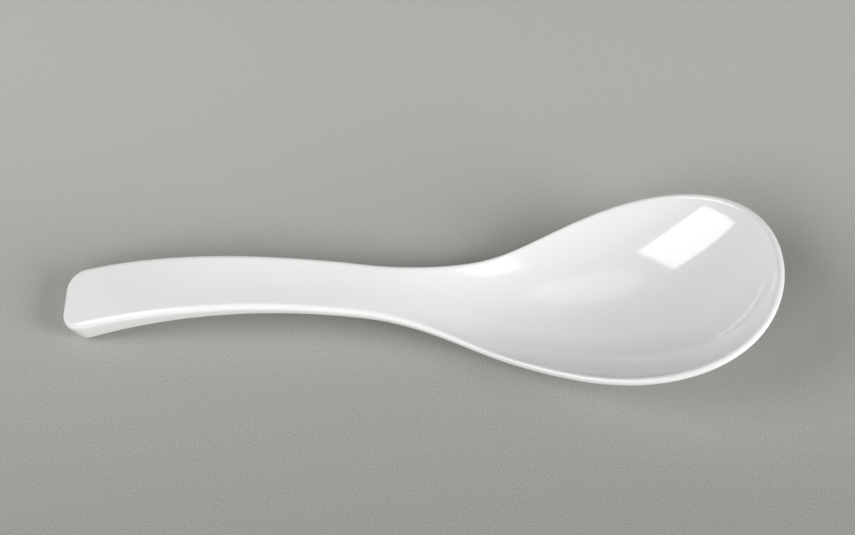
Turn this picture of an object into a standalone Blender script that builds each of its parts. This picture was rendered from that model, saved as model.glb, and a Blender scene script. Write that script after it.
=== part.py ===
"""Salad serving spoon, one moulding of glossy white melamine.

Metres, +Z up. The spoon is drawn with its bowl's rim level and its handle's end at X = 0. It is then laid
on the table, where it rests on a flat foot under the bowl and on the handle's end.
"""
import math
from collections import namedtuple

import bmesh
import bpy
from mathutils import Matrix, Vector
from mathutils.geometry import convex_hull_2d, interpolate_bezier

# Outline from above, with places measured along the spoon from the handle's end
SPOON_LENGTH = 0.2500
WAIST_AT = 0.1056
WIDEST_AT = 0.2060
HANDLE_END_WIDTH = 0.0259
WAIST_WIDTH = 0.0219
BOWL_WIDTH = 0.0794
END_CORNER_RADIUS = 0.0077
TIP_FULLNESS = 0.22

# Side view: the handle climbs from the rim at the neck and levels off near its end
HANDLE_RISE = 0.0456
LEVEL_AT = 0.0226
NECK_AT = 0.1446
NECK_BLEND = 0.0043

# Bowl, which is full depth at its widest, gets shallower towards the tip and opens out of the neck
BOWL_DEPTH = 0.0157
BOWL_ARC_HALF_ANGLE = math.radians(59)
DEPTH_RUN_OUT = 0.143
BOWL_OPEN_AT = 0.160

# Shallow channel along the handle
CHANNEL_DEPTH = 0.0010
CHANNEL_LENGTH = 0.090

# Thicknesses
HANDLE_END_THICKNESS = 0.0094
WAIST_THICKNESS = 0.0043
BOWL_FLOOR = 0.0033
RIM_WIDTH = 0.0022
RIM_DROP = 0.0015

# Handle's sides and end, which lean in towards the underside
HANDLE_DRAFT = 0.0003
END_UNDERCUT = 0.0025
UNDERSIDE_CORNER_RADIUS = 0.0073

# Rounded edges, and the flats where the spoon stands
TOP_EDGE_RADIUS = 0.0024
UNDERSIDE_EDGE_RADIUS = 0.0010
RIM_TOP_RADIUS = 0.0013
RIM_UNDERSIDE_RADIUS = 0.0013
EDGE_SHARE = 0.49
EDGE_ROUNDNESS = 0.55
FOOT_CUT = 0.0005

# Mesh steps along the outline, across the spoon and round an edge
END_STEPS = 3
CORNER_STEPS = 4
HANDLE_STEPS = 12
FLARE_STEPS = 15
TIP_STEPS = 14
ACROSS_STEPS = 9
EDGE_STEPS = 4
WELD = 0.000001

# Finish
MELAMINE_WHITE = (0.80, 0.795, 0.785, 1.0)
MELAMINE_ROUGHNESS = 0.12

Outline = namedtuple("Outline", "start corner end_half waist_half bowl_half tip")
TOP = Outline(0.0, END_CORNER_RADIUS, HANDLE_END_WIDTH / 2, WAIST_WIDTH / 2,
              BOWL_WIDTH / 2 - RIM_WIDTH, SPOON_LENGTH - RIM_WIDTH)
UNDERSIDE = Outline(END_UNDERCUT, UNDERSIDE_CORNER_RADIUS, HANDLE_END_WIDTH / 2 - HANDLE_DRAFT,
                    WAIST_WIDTH / 2 - HANDLE_DRAFT, BOWL_WIDTH / 2, SPOON_LENGTH)


def ease(t):
    """Smooth step from 0 to 1 that starts and ends level."""
    return math.sin(math.pi / 2 * min(max(t, 0.0), 1.0)) ** 2


def along_flare(x, at_waist, at_bowl):
    """Value that changes smoothly from the handle's waist to the bowl's widest place."""
    return at_waist + (at_bowl - at_waist) * ease((x - WAIST_AT) / (WIDEST_AT - WAIST_AT))


def half_width(x, line):
    """Half the outline's width at x: the handle, the flare of the bowl, then its oval tip."""
    if x < WAIST_AT:
        return line.waist_half + (line.end_half - line.waist_half) * ease(1 - x / WAIST_AT)
    if x < WIDEST_AT:
        return along_flare(x, line.waist_half, line.bowl_half)
    along = min((x - WIDEST_AT) / (line.tip - WIDEST_AT), 1.0)
    return line.bowl_half * math.sqrt((1 - along ** 2) * (1 + TIP_FULLNESS * along ** 2))


def edge_height(x):
    """Height of the top edge over the bowl's rim: an arched handle that blends into the level rim."""
    arch = HANDLE_RISE * (1 - ((x - LEVEL_AT) / (NECK_AT - LEVEL_AT)) ** 2)
    return arch / 2 + math.hypot(arch / 2, NECK_BLEND)


def wall_height(x):
    """Height of the side wall: thickest at the handle's end, down to a low step at the bowl's rim."""
    if x < WAIST_AT:
        return WAIST_THICKNESS + (HANDLE_END_THICKNESS - WAIST_THICKNESS) * (1 - x / WAIST_AT) ** 2
    return along_flare(x, WAIST_THICKNESS, RIM_DROP)


def hollow(x, y, line, bowl_depth):
    """Depth below the edge at a place in the plan: the handle's channel, which opens into the round bowl."""
    inside = half_width(x, line) ** 2 - y ** 2
    rim_level = math.cos(BOWL_ARC_HALF_ANGLE)
    arc = math.sqrt(1 - math.sin(BOWL_ARC_HALF_ANGLE) ** 2 * (1 - inside / line.bowl_half ** 2))
    bowl = bowl_depth * (1 - (x - WIDEST_AT) / DEPTH_RUN_OUT) * (arc - rim_level) / (1 - rim_level)
    channel = CHANNEL_DEPTH * ease(x / CHANNEL_LENGTH) * inside / line.waist_half ** 2
    opened = ease((x - WAIST_AT) / (BOWL_OPEN_AT - WAIST_AT))
    return channel * (1 - opened) + bowl * opened


def top_point(x, y):
    """Point of the top surface above a place in the plan."""
    return Vector((x, y, edge_height(x) - hollow(x, y, TOP, BOWL_DEPTH)))


def underside_point(x, y):
    """Point of the underside below a place in the plan."""
    belly = hollow(x, y, UNDERSIDE, BOWL_DEPTH + BOWL_FLOOR - RIM_DROP)
    return Vector((x, y, edge_height(x) - wall_height(x) - belly))


def half_outline(line):
    """Places along half an outline, from the middle of the handle's end round to the tip."""
    flat = half_width(line.start, line) - line.corner
    places = [(line.start, flat * i / END_STEPS) for i in range(END_STEPS)]
    for i in range(CORNER_STEPS):
        turn = math.pi / 2 * i / CORNER_STEPS
        x = line.start + line.corner * (1 - math.cos(turn))
        places.append((x, half_width(x, line) - line.corner * (1 - math.sin(turn))))
    side_start = line.start + line.corner
    stations = [side_start + (WAIST_AT - side_start) * i / HANDLE_STEPS for i in range(HANDLE_STEPS)]
    stations += [WAIST_AT + (WIDEST_AT - WAIST_AT) * i / FLARE_STEPS for i in range(FLARE_STEPS)]
    stations += [WIDEST_AT + (line.tip - WIDEST_AT) * math.sin(math.pi / 2 * i / TIP_STEPS)
                 for i in range(TIP_STEPS)]
    places += [(x, half_width(x, line)) for x in stations]
    places.append((line.tip, 0.0))
    return places


def across(place, line, surface, radius):
    """Points on a surface from the spoon's middle line out to where its edge begins to round."""
    edge = surface(*place)
    middle = surface(min(max(place[0], line.start + line.end_half), WIDEST_AT), 0.0)
    inward = Vector((middle.x - edge.x, middle.y - edge.y))
    reach = inward.length
    inward.normalize()
    probe = surface(edge.x + inward.x * radius, edge.y + inward.y * radius)
    inset = radius * radius / (probe - edge).length
    steps = [math.sin(math.pi / 2 * i / ACROSS_STEPS) for i in range(ACROSS_STEPS + 1)]
    offsets = [reach - (reach - inset) * step for step in steps]
    return [surface(edge.x + inward.x * offset, edge.y + inward.y * offset) for offset in offsets]


def rounded(start, corner, end):
    """Points of a rounded corner between two points that flank it."""
    leave = start.lerp(corner, EDGE_ROUNDNESS)
    arrive = end.lerp(corner, EDGE_ROUNDNESS)
    return interpolate_bezier(start, leave, arrive, end, EDGE_STEPS + 1)[1:]


def rib(top_place, underside_place):
    """Half a cross-section: out over the top, round the edge, down the wall and back underneath."""
    top_radius = along_flare(top_place[0], TOP_EDGE_RADIUS, RIM_TOP_RADIUS)
    underside_radius = along_flare(underside_place[0], UNDERSIDE_EDGE_RADIUS, RIM_UNDERSIDE_RADIUS)
    upper = across(top_place, TOP, top_point, top_radius)
    lower = across(underside_place, UNDERSIDE, underside_point, underside_radius)
    top_edge = top_point(*top_place)
    low_edge = underside_point(*underside_place)
    wall = low_edge - top_edge
    down = wall.normalized()
    wall_top = top_edge + down * min(top_radius, wall.length * EDGE_SHARE)
    wall_foot = low_edge - down * min(underside_radius, wall.length * EDGE_SHARE)
    points = upper + rounded(upper[-1], top_edge, wall_top)
    points += [wall_foot] + rounded(wall_foot, low_edge, lower[-1])
    return points + lower[-2::-1]


def loft_half(bm):
    """Skin the ribs of the +Y half, which is left open on the middle plane."""
    ribs = [rib(*pair) for pair in zip(half_outline(TOP), half_outline(UNDERSIDE))]
    rows = [[bm.verts.new(point) for point in points] for points in ribs]
    for near, far in zip(rows, rows[1:]):
        for i in range(len(near) - 1):
            bm.faces.new((near[i], far[i], far[i + 1], near[i + 1]))
    bmesh.ops.remove_doubles(bm, verts=bm.verts[:], dist=WELD)


def lay_down(bm):
    """Turn the spoon to rest on its bowl and handle end: the longest lower edge of its side view comes level."""
    side = [(vert.co.x, vert.co.z) for vert in bm.verts]
    hull = [Vector(side[i]) for i in convex_hull_2d(side)]
    under = [(a, b) for a, b in zip(hull, hull[1:] + hull[:1]) if a.x < b.x]
    handle_touch, bowl_touch = max(under, key=lambda edge: (edge[1] - edge[0]).length)
    slope = bowl_touch - handle_touch
    turn = Matrix.Rotation(math.atan2(slope.y, slope.x), 3, "Y")
    bmesh.ops.rotate(bm, verts=bm.verts[:], cent=(0.0, 0.0, 0.0), matrix=turn)


def cut_feet(bm):
    """Cut the two places that touch the table flat."""
    floor = min(vert.co.z for vert in bm.verts) + FOOT_CUT
    everything = bm.verts[:] + bm.edges[:] + bm.faces[:]
    cut = bmesh.ops.bisect_plane(bm, geom=everything, dist=WELD, plane_co=(0.0, 0.0, floor),
                                 plane_no=(0.0, 0.0, -1.0), clear_outer=True)
    rims = [item for item in cut["geom_cut"] if isinstance(item, bmesh.types.BMEdge)]
    bmesh.ops.holes_fill(bm, edges=rims)


def centre_on_table(bm):
    """Put the origin on the table under the middle of the spoon's length."""
    reach = [vert.co.x for vert in bm.verts]
    low = min(vert.co.z for vert in bm.verts)
    bmesh.ops.translate(bm, verts=bm.verts[:], vec=(-(min(reach) + max(reach)) / 2, 0.0, -low))


def melamine():
    """Glossy white melamine."""
    material = bpy.data.materials.new("white_melamine")
    material.use_nodes = True
    shader = material.node_tree.nodes["Principled BSDF"]
    shader.inputs["Base Color"].default_value = MELAMINE_WHITE
    shader.inputs["Roughness"].default_value = MELAMINE_ROUGHNESS
    shader.inputs["Metallic"].default_value = 0.0
    return material


def spoon():
    """The whole spoon as one closed solid."""
    bm = bmesh.new()
    loft_half(bm)
    bmesh.ops.mirror(bm, geom=bm.verts[:] + bm.edges[:] + bm.faces[:], merge_dist=WELD, axis="Y")
    lay_down(bm)
    cut_feet(bm)
    centre_on_table(bm)
    bmesh.ops.recalc_face_normals(bm, faces=bm.faces[:])
    mesh = bpy.data.meshes.new("spoon")
    bm.to_mesh(mesh)
    bm.free()
    mesh.materials.append(melamine())
    return bpy.data.objects.new("spoon", mesh)


def main():
    for existing in list(bpy.data.objects):
        bpy.data.objects.remove(existing)
    collection = bpy.data.collections.new("salad_serving_spoon")
    bpy.context.scene.collection.children.link(collection)
    collection.objects.link(spoon())


main()
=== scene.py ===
import math
from collections import namedtuple

import bmesh
import bpy
from mathutils import Matrix, Vector
from mathutils.geometry import convex_hull_2d, interpolate_bezier


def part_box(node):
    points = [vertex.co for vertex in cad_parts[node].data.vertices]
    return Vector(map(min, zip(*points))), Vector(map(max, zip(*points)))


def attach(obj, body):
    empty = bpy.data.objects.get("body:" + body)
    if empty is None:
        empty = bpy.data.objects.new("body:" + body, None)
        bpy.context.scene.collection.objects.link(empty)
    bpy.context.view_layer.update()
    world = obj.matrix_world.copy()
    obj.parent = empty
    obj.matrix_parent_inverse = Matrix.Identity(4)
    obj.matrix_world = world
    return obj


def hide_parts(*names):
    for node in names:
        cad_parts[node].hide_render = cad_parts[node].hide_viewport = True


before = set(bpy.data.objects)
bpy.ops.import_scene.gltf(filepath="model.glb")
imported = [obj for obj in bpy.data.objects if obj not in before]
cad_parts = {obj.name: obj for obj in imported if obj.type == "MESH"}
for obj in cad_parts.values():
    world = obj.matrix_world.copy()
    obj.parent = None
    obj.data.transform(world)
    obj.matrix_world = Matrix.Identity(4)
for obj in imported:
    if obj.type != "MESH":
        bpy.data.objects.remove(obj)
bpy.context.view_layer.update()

# Spoon: outline from above, with places measured along it from the handle's end, in metres
SPOON_LENGTH = 0.2500
WAIST_AT = 0.1056
WIDEST_AT = 0.2060
HANDLE_END_WIDTH = 0.0259
WAIST_WIDTH = 0.0219
BOWL_WIDTH = 0.0794
END_CORNER_RADIUS = 0.0077
TIP_FULLNESS = 0.22

# Spoon: side view
HANDLE_RISE = 0.0456
LEVEL_AT = 0.0226
NECK_AT = 0.1446
NECK_BLEND = 0.0043

# Spoon: bowl, which gets shallower towards the tip, and the channel along the handle
BOWL_DEPTH = 0.0157
BOWL_ARC_HALF_ANGLE = math.radians(59)
DEPTH_RUN_OUT = 0.143
BOWL_OPEN_AT = 0.160
CHANNEL_DEPTH = 0.0010
CHANNEL_LENGTH = 0.090

# Spoon: thicknesses
HANDLE_END_THICKNESS = 0.0094
WAIST_THICKNESS = 0.0043
BOWL_FLOOR = 0.0033
RIM_WIDTH = 0.0022
RIM_DROP = 0.0015

# Spoon: leaning sides, rounded edges and the flats it stands on
HANDLE_DRAFT = 0.0003
END_UNDERCUT = 0.0025
UNDERSIDE_CORNER_RADIUS = 0.0073
TOP_EDGE_RADIUS = 0.0024
UNDERSIDE_EDGE_RADIUS = 0.0010
RIM_TOP_RADIUS = 0.0013
RIM_UNDERSIDE_RADIUS = 0.0013
EDGE_SHARE = 0.49
EDGE_ROUNDNESS = 0.55
FOOT_CUT = 0.0005

# Mesh steps along the outline, across the spoon and round an edge
END_STEPS = 8
CORNER_STEPS = 10
HANDLE_STEPS = 70
FLARE_STEPS = 80
TIP_STEPS = 70
ACROSS_STEPS = 40
EDGE_STEPS = 8
WELD = 0.000001

Outline = namedtuple("Outline", "start corner end_half waist_half bowl_half tip")
TOP = Outline(0.0, END_CORNER_RADIUS, HANDLE_END_WIDTH / 2, WAIST_WIDTH / 2,
              BOWL_WIDTH / 2 - RIM_WIDTH, SPOON_LENGTH - RIM_WIDTH)
UNDERSIDE = Outline(END_UNDERCUT, UNDERSIDE_CORNER_RADIUS, HANDLE_END_WIDTH / 2 - HANDLE_DRAFT,
                    WAIST_WIDTH / 2 - HANDLE_DRAFT, BOWL_WIDTH / 2, SPOON_LENGTH)

# Camera of the photograph
CAMERA_AZIMUTH = math.radians(1.84)
CAMERA_ELEVATION = math.radians(54.98)
CAMERA_DISTANCE = 0.8588
CAMERA_AIM = Vector((0.0025, 0.0235, 0.0))
CAMERA_LENS_MM = 100
SENSOR_WIDTH_MM = 36

# Studio light: soft lamps in metres, degrees and watts, which light the spoon, show in its gloss or do both
Softbox = namedtuple("Softbox", "name place aim size roll watts lights shows")
SOFTBOXES = (
    Softbox("left_softbox", place=(-0.629, -0.206, 0.670), aim=(0.056, 0.105, 0.011), size=(0.523, 0.613),
            roll=9.3, watts=5.3, lights=True, shows=True),
    Softbox("right_glow", place=(1.122, -0.597, 0.860), aim=(-0.030, 0.082, 0.179), size=(1.50, 1.50),
            roll=-15.0, watts=18.0, lights=False, shows=True),
    Softbox("right_softbox", place=(1.280, -0.517, 0.606), aim=(0.0, 0.0, 0.02), size=(0.80, 0.75),
            roll=0.0, watts=23.0, lights=True, shows=True),
    Softbox("front_softbox", place=(-0.294, -0.864, 0.791), aim=(0.02, 0.0, 0.02), size=(0.42, 0.42),
            roll=0.0, watts=4.2, lights=True, shows=False),
    Softbox("front_fill", place=(-0.930, -0.780, 0.486), aim=(0.0, 0.0, 0.02), size=(0.75, 0.95),
            roll=0.0, watts=2.6, lights=True, shows=False),
    Softbox("back_strip", place=(-0.740, 0.960, 0.045), aim=(0.10, 0.0, 0.02), size=(0.62, 0.05),
            roll=-5.5, watts=0.16, lights=True, shows=True),
)

# Studio light: an oval panel overhead, in two layers for a soft edge, seen only as a reflection
OVERHEAD_AT = Vector((-0.19, 0.09, 1.2))
OVERHEAD_TURN = math.radians(-19)
OVERHEAD_SIZE = (0.84, 0.56)
OVERHEAD_LAYERS = (0.94, 1.06)
OVERHEAD_GAP = 0.02
OVERHEAD_WATTS = 0.6

# Studio light: glow of the pale wall behind the table, below a sloping edge and weaker at its foot
WALL_COLOUR = (1.0, 1.0, 1.0, 1.0)
WALL_SLOPE = 0.98
WALL_EDGE = 0.03
WALL_FULL_AT = 0.6
WALL_STRENGTH = 0.45
WALL_FOOT_STRENGTH = 0.18

# Melamine: two close tones of white, polish that varies a little, and the slight waviness of a moulded face
WHITE_DEEP = (0.779, 0.773, 0.767, 1.0)
WHITE_PALE = (0.795, 0.789, 0.783, 1.0)
TONE_CLOUDS_PER_METRE = 35
POLISH_CLOUDS_PER_METRE = 90
POLISH_FINEST = 0.07
POLISH_DULLEST = 0.11
MELAMINE_IOR = 1.6
WAVES_PER_METRE = 45
WAVE_HEIGHT = 0.00002
PEEL_PER_METRE = 1600
PEEL_HEIGHT = 0.0000006

# Table: grey paper with painted light falloff, paler towards the back and darker in front
TABLE_SIZE = 6.0
# Painted light falloff: the near tone is painted shade in front and the far tone is painted light at the
# back, blended between the two places below
TABLE_SHADED_NEAR_TONE = (0.258, 0.258, 0.244, 1.0)
TABLE_LIT_FAR_TONE = (0.470, 0.464, 0.440, 1.0)
PAINTED_SHADE_NEAR_AT = -0.16
PAINTED_LIGHT_FAR_AT = 0.16
TABLE_ROUGHNESS = 0.9
TABLE_SPECULAR = 0.1
PAPER_GRAIN_PER_METRE = 1900
PAPER_GRAIN_HEIGHT = 0.00003
PAPER_MOTTLE = 0.5
PAPER_MOTTLE_FAR_SHARE = 0.4


def ease(t):
    """Smooth step from 0 to 1 that starts and ends level."""
    return math.sin(math.pi / 2 * min(max(t, 0.0), 1.0)) ** 2


def along_flare(x, at_waist, at_bowl):
    """Value that changes smoothly from the handle's waist to the bowl's widest place."""
    return at_waist + (at_bowl - at_waist) * ease((x - WAIST_AT) / (WIDEST_AT - WAIST_AT))


def half_width(x, line):
    """Half the outline's width at x: the handle, the flare of the bowl, then its oval tip."""
    if x < WAIST_AT:
        return line.waist_half + (line.end_half - line.waist_half) * ease(1 - x / WAIST_AT)
    if x < WIDEST_AT:
        return along_flare(x, line.waist_half, line.bowl_half)
    along = min((x - WIDEST_AT) / (line.tip - WIDEST_AT), 1.0)
    return line.bowl_half * math.sqrt((1 - along ** 2) * (1 + TIP_FULLNESS * along ** 2))


def edge_height(x):
    """Height of the top edge over the bowl's rim: an arched handle that blends into the level rim."""
    arch = HANDLE_RISE * (1 - ((x - LEVEL_AT) / (NECK_AT - LEVEL_AT)) ** 2)
    return arch / 2 + math.hypot(arch / 2, NECK_BLEND)


def wall_height(x):
    """Height of the side wall: thickest at the handle's end, down to a low step at the bowl's rim."""
    if x < WAIST_AT:
        return WAIST_THICKNESS + (HANDLE_END_THICKNESS - WAIST_THICKNESS) * (1 - x / WAIST_AT) ** 2
    return along_flare(x, WAIST_THICKNESS, RIM_DROP)


def hollow(x, y, line, bowl_depth):
    """Depth below the edge at a place in the plan: the handle's channel, which opens into the round bowl."""
    inside = half_width(x, line) ** 2 - y ** 2
    rim_level = math.cos(BOWL_ARC_HALF_ANGLE)
    arc = math.sqrt(1 - math.sin(BOWL_ARC_HALF_ANGLE) ** 2 * (1 - inside / line.bowl_half ** 2))
    bowl = bowl_depth * (1 - (x - WIDEST_AT) / DEPTH_RUN_OUT) * (arc - rim_level) / (1 - rim_level)
    channel = CHANNEL_DEPTH * ease(x / CHANNEL_LENGTH) * inside / line.waist_half ** 2
    opened = ease((x - WAIST_AT) / (BOWL_OPEN_AT - WAIST_AT))
    return channel * (1 - opened) + bowl * opened


def top_point(x, y):
    """Point of the top surface above a place in the plan."""
    return Vector((x, y, edge_height(x) - hollow(x, y, TOP, BOWL_DEPTH)))


def underside_point(x, y):
    """Point of the underside below a place in the plan."""
    belly = hollow(x, y, UNDERSIDE, BOWL_DEPTH + BOWL_FLOOR - RIM_DROP)
    return Vector((x, y, edge_height(x) - wall_height(x) - belly))


def half_outline(line):
    """Places along half an outline, from the middle of the handle's end round to the tip."""
    flat = half_width(line.start, line) - line.corner
    places = [(line.start, flat * i / END_STEPS) for i in range(END_STEPS)]
    for i in range(CORNER_STEPS):
        turn = math.pi / 2 * i / CORNER_STEPS
        x = line.start + line.corner * (1 - math.cos(turn))
        places.append((x, half_width(x, line) - line.corner * (1 - math.sin(turn))))
    side_start = line.start + line.corner
    stations = [side_start + (WAIST_AT - side_start) * i / HANDLE_STEPS for i in range(HANDLE_STEPS)]
    stations += [WAIST_AT + (WIDEST_AT - WAIST_AT) * i / FLARE_STEPS for i in range(FLARE_STEPS)]
    stations += [WIDEST_AT + (line.tip - WIDEST_AT) * math.sin(math.pi / 2 * i / TIP_STEPS)
                 for i in range(TIP_STEPS)]
    places += [(x, half_width(x, line)) for x in stations]
    places.append((line.tip, 0.0))
    return places


def across(place, line, surface, radius):
    """Points on a surface from the spoon's middle line out to where its edge begins to round."""
    edge = surface(*place)
    middle = surface(min(max(place[0], line.start + line.end_half), WIDEST_AT), 0.0)
    inward = Vector((middle.x - edge.x, middle.y - edge.y))
    reach = inward.length
    inward.normalize()
    probe = surface(edge.x + inward.x * radius, edge.y + inward.y * radius)
    inset = radius * radius / (probe - edge).length
    steps = [math.sin(math.pi / 2 * i / ACROSS_STEPS) for i in range(ACROSS_STEPS + 1)]
    offsets = [reach - (reach - inset) * step for step in steps]
    return [surface(edge.x + inward.x * offset, edge.y + inward.y * offset) for offset in offsets]


def rounded(start, corner, end):
    """Points of a rounded corner between two points that flank it."""
    leave = start.lerp(corner, EDGE_ROUNDNESS)
    arrive = end.lerp(corner, EDGE_ROUNDNESS)
    return interpolate_bezier(start, leave, arrive, end, EDGE_STEPS + 1)[1:]


def rib(top_place, underside_place):
    """Half a cross-section: out over the top, round the edge, down the wall and back underneath."""
    top_radius = along_flare(top_place[0], TOP_EDGE_RADIUS, RIM_TOP_RADIUS)
    underside_radius = along_flare(underside_place[0], UNDERSIDE_EDGE_RADIUS, RIM_UNDERSIDE_RADIUS)
    upper = across(top_place, TOP, top_point, top_radius)
    lower = across(underside_place, UNDERSIDE, underside_point, underside_radius)
    top_edge = top_point(*top_place)
    low_edge = underside_point(*underside_place)
    wall = low_edge - top_edge
    down = wall.normalized()
    wall_top = top_edge + down * min(top_radius, wall.length * EDGE_SHARE)
    wall_foot = low_edge - down * min(underside_radius, wall.length * EDGE_SHARE)
    points = upper + rounded(upper[-1], top_edge, wall_top)
    points += [wall_foot] + rounded(wall_foot, low_edge, lower[-1])
    return points + lower[-2::-1]


def loft_half(bm):
    """Skin the ribs of the +Y half, which is left open on the middle plane."""
    ribs = [rib(*pair) for pair in zip(half_outline(TOP), half_outline(UNDERSIDE))]
    rows = [[bm.verts.new(point) for point in points] for points in ribs]
    for near, far in zip(rows, rows[1:]):
        for i in range(len(near) - 1):
            bm.faces.new((near[i], far[i], far[i + 1], near[i + 1]))
    bmesh.ops.remove_doubles(bm, verts=bm.verts[:], dist=WELD)


def lay_down(bm):
    """Turn the spoon to rest on its bowl and handle end, so that its longest lower edge comes level."""
    side = [(vert.co.x, vert.co.z) for vert in bm.verts]
    hull = [Vector(side[i]) for i in convex_hull_2d(side)]
    under = [(a, b) for a, b in zip(hull, hull[1:] + hull[:1]) if a.x < b.x]
    handle_touch, bowl_touch = max(under, key=lambda edge: (edge[1] - edge[0]).length)
    slope = bowl_touch - handle_touch
    turn = Matrix.Rotation(math.atan2(slope.y, slope.x), 3, "Y")
    bmesh.ops.rotate(bm, verts=bm.verts[:], cent=(0.0, 0.0, 0.0), matrix=turn)


def cut_feet(bm):
    """Cut the two places that touch the table flat, with a crisp edge round each flat."""
    floor = min(vert.co.z for vert in bm.verts) + FOOT_CUT
    everything = bm.verts[:] + bm.edges[:] + bm.faces[:]
    cut = bmesh.ops.bisect_plane(bm, geom=everything, dist=WELD, plane_co=(0.0, 0.0, floor),
                                 plane_no=(0.0, 0.0, -1.0), clear_outer=True)
    rims = [item for item in cut["geom_cut"] if isinstance(item, bmesh.types.BMEdge)]
    bmesh.ops.holes_fill(bm, edges=rims)
    for edge in rims:
        edge.smooth = False


def place_in_frame(bm):
    """Move the laid spoon to where the frame has it, so that its box is exactly the CAD spoon's box."""
    low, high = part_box("spoon")
    first = Vector([min(vert.co[axis] for vert in bm.verts) for axis in range(3)])
    last = Vector([max(vert.co[axis] for vert in bm.verts) for axis in range(3)])
    fit = [(high[axis] - low[axis]) / (last[axis] - first[axis]) for axis in range(3)]
    for vert in bm.verts:
        vert.co = Vector([low[axis] + (vert.co[axis] - first[axis]) * fit[axis] for axis in range(3)])


def cloud_group():
    """Node group of soft clouds: a value that drifts between Low and High over the surface."""
    group = bpy.data.node_groups.new("soft_clouds", "ShaderNodeTree")
    for name in ("Per Metre", "Low", "High"):
        group.interface.new_socket(name, in_out="INPUT", socket_type="NodeSocketFloat")
    group.interface.new_socket("Value", in_out="OUTPUT", socket_type="NodeSocketFloat")
    nodes = group.nodes
    links = group.links
    entry = nodes.new("NodeGroupInput")
    leave = nodes.new("NodeGroupOutput")
    place = nodes.new("ShaderNodeTexCoord")
    noise = nodes.new("ShaderNodeTexNoise")
    spread = nodes.new("ShaderNodeMapRange")
    links.new(place.outputs["Object"], noise.inputs["Vector"])
    links.new(entry.outputs["Per Metre"], noise.inputs["Scale"])
    links.new(noise.outputs["Fac"], spread.inputs["Value"])
    links.new(entry.outputs["Low"], spread.inputs["To Min"])
    links.new(entry.outputs["High"], spread.inputs["To Max"])
    links.new(spread.outputs["Result"], leave.inputs["Value"])
    return group


def add_clouds(material, per_metre, low=0.0, high=1.0):
    """Put the clouds into a material and return their value."""
    clouds = material.node_tree.nodes.new("ShaderNodeGroup")
    clouds.node_tree = CLOUDS
    clouds.inputs["Per Metre"].default_value = per_metre
    clouds.inputs["Low"].default_value = low
    clouds.inputs["High"].default_value = high
    return clouds.outputs["Value"]


def add_bump(material, height, distance, under=None):
    """Add a bump of a real height, over another one if given, and return its normal."""
    bump = material.node_tree.nodes.new("ShaderNodeBump")
    bump.inputs["Distance"].default_value = distance
    material.node_tree.links.new(height, bump.inputs["Height"])
    if under:
        material.node_tree.links.new(under, bump.inputs["Normal"])
    return bump.outputs["Normal"]


def add_blend(material, factor, first, second):
    """Blend two colours by a factor and return the colour."""
    blend = material.node_tree.nodes.new("ShaderNodeMix")
    blend.data_type = "RGBA"
    blend.inputs["A"].default_value = first
    blend.inputs["B"].default_value = second
    material.node_tree.links.new(factor, blend.inputs["Factor"])
    return blend.outputs["Result"]


def white_melamine():
    """Glossy white melamine: faint tone clouds, uneven polish and the waviness of a moulded face."""
    material = bpy.data.materials.new("white_melamine")
    material.use_nodes = True
    links = material.node_tree.links
    shader = material.node_tree.nodes["Principled BSDF"]
    shader.inputs["IOR"].default_value = MELAMINE_IOR
    tone = add_blend(material, add_clouds(material, TONE_CLOUDS_PER_METRE), WHITE_DEEP, WHITE_PALE)
    polish = add_clouds(material, POLISH_CLOUDS_PER_METRE, POLISH_FINEST, POLISH_DULLEST)
    waves = add_bump(material, add_clouds(material, WAVES_PER_METRE), WAVE_HEIGHT)
    peel = add_bump(material, add_clouds(material, PEEL_PER_METRE), PEEL_HEIGHT, waves)
    links.new(tone, shader.inputs["Base Color"])
    links.new(polish, shader.inputs["Roughness"])
    links.new(peel, shader.inputs["Normal"])
    return material


def grey_paper():
    """Matt grey paper with painted light falloff, paler towards the back and darker in front, with a fine
    grain that shows most in front.
    """
    material = bpy.data.materials.new("grey_paper")
    material.use_nodes = True
    nodes = material.node_tree.nodes
    links = material.node_tree.links
    shader = nodes["Principled BSDF"]
    shader.inputs["Roughness"].default_value = TABLE_ROUGHNESS
    shader.inputs["Specular IOR Level"].default_value = TABLE_SPECULAR
    place = nodes.new("ShaderNodeTexCoord")
    split = nodes.new("ShaderNodeSeparateXYZ")
    depth = nodes.new("ShaderNodeMapRange")
    depth.interpolation_type = "SMOOTHSTEP"
    depth.inputs["From Min"].default_value = PAINTED_SHADE_NEAR_AT
    depth.inputs["From Max"].default_value = PAINTED_LIGHT_FAR_AT
    show = nodes.new("ShaderNodeMapRange")
    show.inputs["To Min"].default_value = 1.0
    show.inputs["To Max"].default_value = PAPER_MOTTLE_FAR_SHARE
    mottle = nodes.new("ShaderNodeMix")
    mottle.data_type = "RGBA"
    mottle.blend_type = "MULTIPLY"
    links.new(place.outputs["Object"], split.inputs["Vector"])
    links.new(split.outputs["Y"], depth.inputs["Value"])
    links.new(depth.outputs["Result"], show.inputs["Value"])
    links.new(show.outputs["Result"], mottle.inputs["Factor"])
    # Painted light falloff: the paper's colour blends from the darker near tone to the paler far tone
    tone = add_blend(material, depth.outputs["Result"], TABLE_SHADED_NEAR_TONE, TABLE_LIT_FAR_TONE)
    specks = add_clouds(material, PAPER_GRAIN_PER_METRE, 1 - PAPER_MOTTLE, 1 + PAPER_MOTTLE)
    links.new(tone, mottle.inputs["A"])
    links.new(specks, mottle.inputs["B"])
    grain = add_bump(material, add_clouds(material, PAPER_GRAIN_PER_METRE), PAPER_GRAIN_HEIGHT)
    links.new(mottle.outputs["Result"], shader.inputs["Base Color"])
    links.new(grain, shader.inputs["Normal"])
    return material


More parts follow.
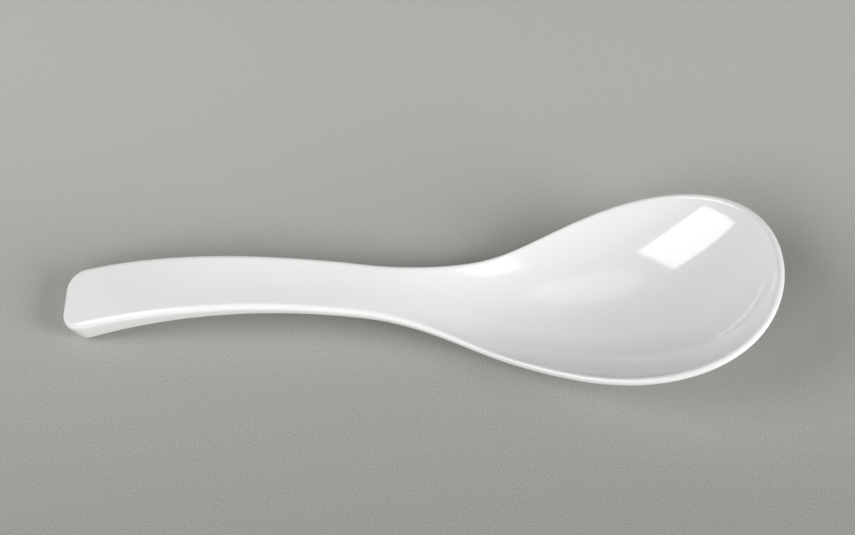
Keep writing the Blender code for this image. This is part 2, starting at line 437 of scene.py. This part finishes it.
def make_spoon():
    """The spoon as one fine smooth mesh that stands for the CAD node."""
    bm = bmesh.new()
    loft_half(bm)
    bmesh.ops.mirror(bm, geom=bm.verts[:] + bm.edges[:] + bm.faces[:], merge_dist=WELD, axis="Y")
    lay_down(bm)
    cut_feet(bm)
    place_in_frame(bm)
    bmesh.ops.recalc_face_normals(bm, faces=bm.faces[:])
    for face in bm.faces:
        face.smooth = True
    mesh = bpy.data.meshes.new("moulded_spoon")
    bm.to_mesh(mesh)
    bm.free()
    mesh.materials.append(white_melamine())
    spoon = bpy.data.objects.new("moulded_spoon", mesh)
    bpy.context.scene.collection.objects.link(spoon)
    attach(spoon, "root")
    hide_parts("spoon")


def make_table():
    """Plain pale grey table top."""
    bpy.ops.mesh.primitive_plane_add(size=TABLE_SIZE, location=(0.0, 0.0, 0.0))
    table = bpy.context.object
    table.name = "table_top"
    table.data.materials.append(grey_paper())


def make_softbox(box):
    """Rectangular soft lamp that faces a point, rolled about that line."""
    lamp = bpy.data.lights.new(box.name, "AREA")
    lamp.shape = "RECTANGLE"
    lamp.size, lamp.size_y = box.size
    lamp.energy = box.watts
    softbox = bpy.data.objects.new(box.name, lamp)
    place = Vector(box.place)
    facing = (Vector(box.aim) - place).to_track_quat("-Z", "Y").to_matrix().to_4x4()
    turn = Matrix.Rotation(math.radians(box.roll), 4, "Z")
    softbox.matrix_world = Matrix.Translation(place) @ facing @ turn
    softbox.visible_diffuse = box.lights
    softbox.visible_glossy = box.shows
    bpy.context.scene.collection.objects.link(softbox)


def make_overhead():
    """Oval panel over the table with a soft edge, seen only as a reflection."""
    for i, layer in enumerate(OVERHEAD_LAYERS):
        lamp = bpy.data.lights.new(f"overhead_panel_{i}", "AREA")
        lamp.shape = "ELLIPSE"
        lamp.size = OVERHEAD_SIZE[0] * layer
        lamp.size_y = OVERHEAD_SIZE[1] * layer
        lamp.energy = OVERHEAD_WATTS
        panel = bpy.data.objects.new(f"overhead_panel_{i}", lamp)
        panel.location = OVERHEAD_AT + Vector((0.0, 0.0, OVERHEAD_GAP * i))
        panel.rotation_euler.z = OVERHEAD_TURN
        panel.visible_diffuse = False
        bpy.context.scene.collection.objects.link(panel)


def make_surround():
    """Dark studio with the glow of a pale wall behind the table."""
    world = bpy.data.worlds.new("studio_surround")
    world.use_nodes = True
    nodes = world.node_tree.nodes
    links = world.node_tree.links
    place = nodes.new("ShaderNodeTexCoord")
    split = nodes.new("ShaderNodeSeparateXYZ")
    below = nodes.new("ShaderNodeMath")
    below.operation = "MULTIPLY_ADD"
    below.inputs[1].default_value = -WALL_SLOPE
    fade = nodes.new("ShaderNodeMapRange")
    fade.inputs["From Max"].default_value = WALL_FULL_AT
    fade.inputs["To Min"].default_value = WALL_FOOT_STRENGTH
    fade.inputs["To Max"].default_value = WALL_STRENGTH
    wall = nodes.new("ShaderNodeMapRange")
    wall.inputs["From Min"].default_value = WALL_EDGE
    wall.inputs["From Max"].default_value = -WALL_EDGE
    links.new(place.outputs["Generated"], split.inputs["Vector"])
    links.new(split.outputs["Y"], below.inputs[0])
    links.new(split.outputs["Z"], below.inputs[2])
    links.new(below.outputs["Value"], wall.inputs["Value"])
    links.new(split.outputs["Z"], fade.inputs["Value"])
    links.new(fade.outputs["Result"], wall.inputs["To Max"])
    links.new(wall.outputs["Result"], nodes["Background"].inputs["Strength"])
    nodes["Background"].inputs["Color"].default_value = WALL_COLOUR
    bpy.context.scene.world = world


def make_light():
    """Soft studio light: the lamps round the table, the overhead panel and the wall."""
    for box in SOFTBOXES:
        make_softbox(box)
    make_overhead()
    make_surround()


def make_camera():
    """Camera at the photograph's viewing angle."""
    data = bpy.data.cameras.new("photo_camera")
    data.lens = CAMERA_LENS_MM
    data.sensor_width = SENSOR_WIDTH_MM
    camera = bpy.data.objects.new("photo_camera", data)
    back = Vector((math.sin(CAMERA_AZIMUTH) * math.cos(CAMERA_ELEVATION),
                   -math.cos(CAMERA_AZIMUTH) * math.cos(CAMERA_ELEVATION), math.sin(CAMERA_ELEVATION)))
    camera.location = CAMERA_AIM + back * CAMERA_DISTANCE
    camera.rotation_euler = (-back).to_track_quat("-Z", "Y").to_euler()
    bpy.context.scene.collection.objects.link(camera)
    bpy.context.scene.camera = camera


CLOUDS = cloud_group()
make_spoon()
make_table()
make_light()
make_camera()
bpy.context.scene.view_settings.view_transform = "Standard"
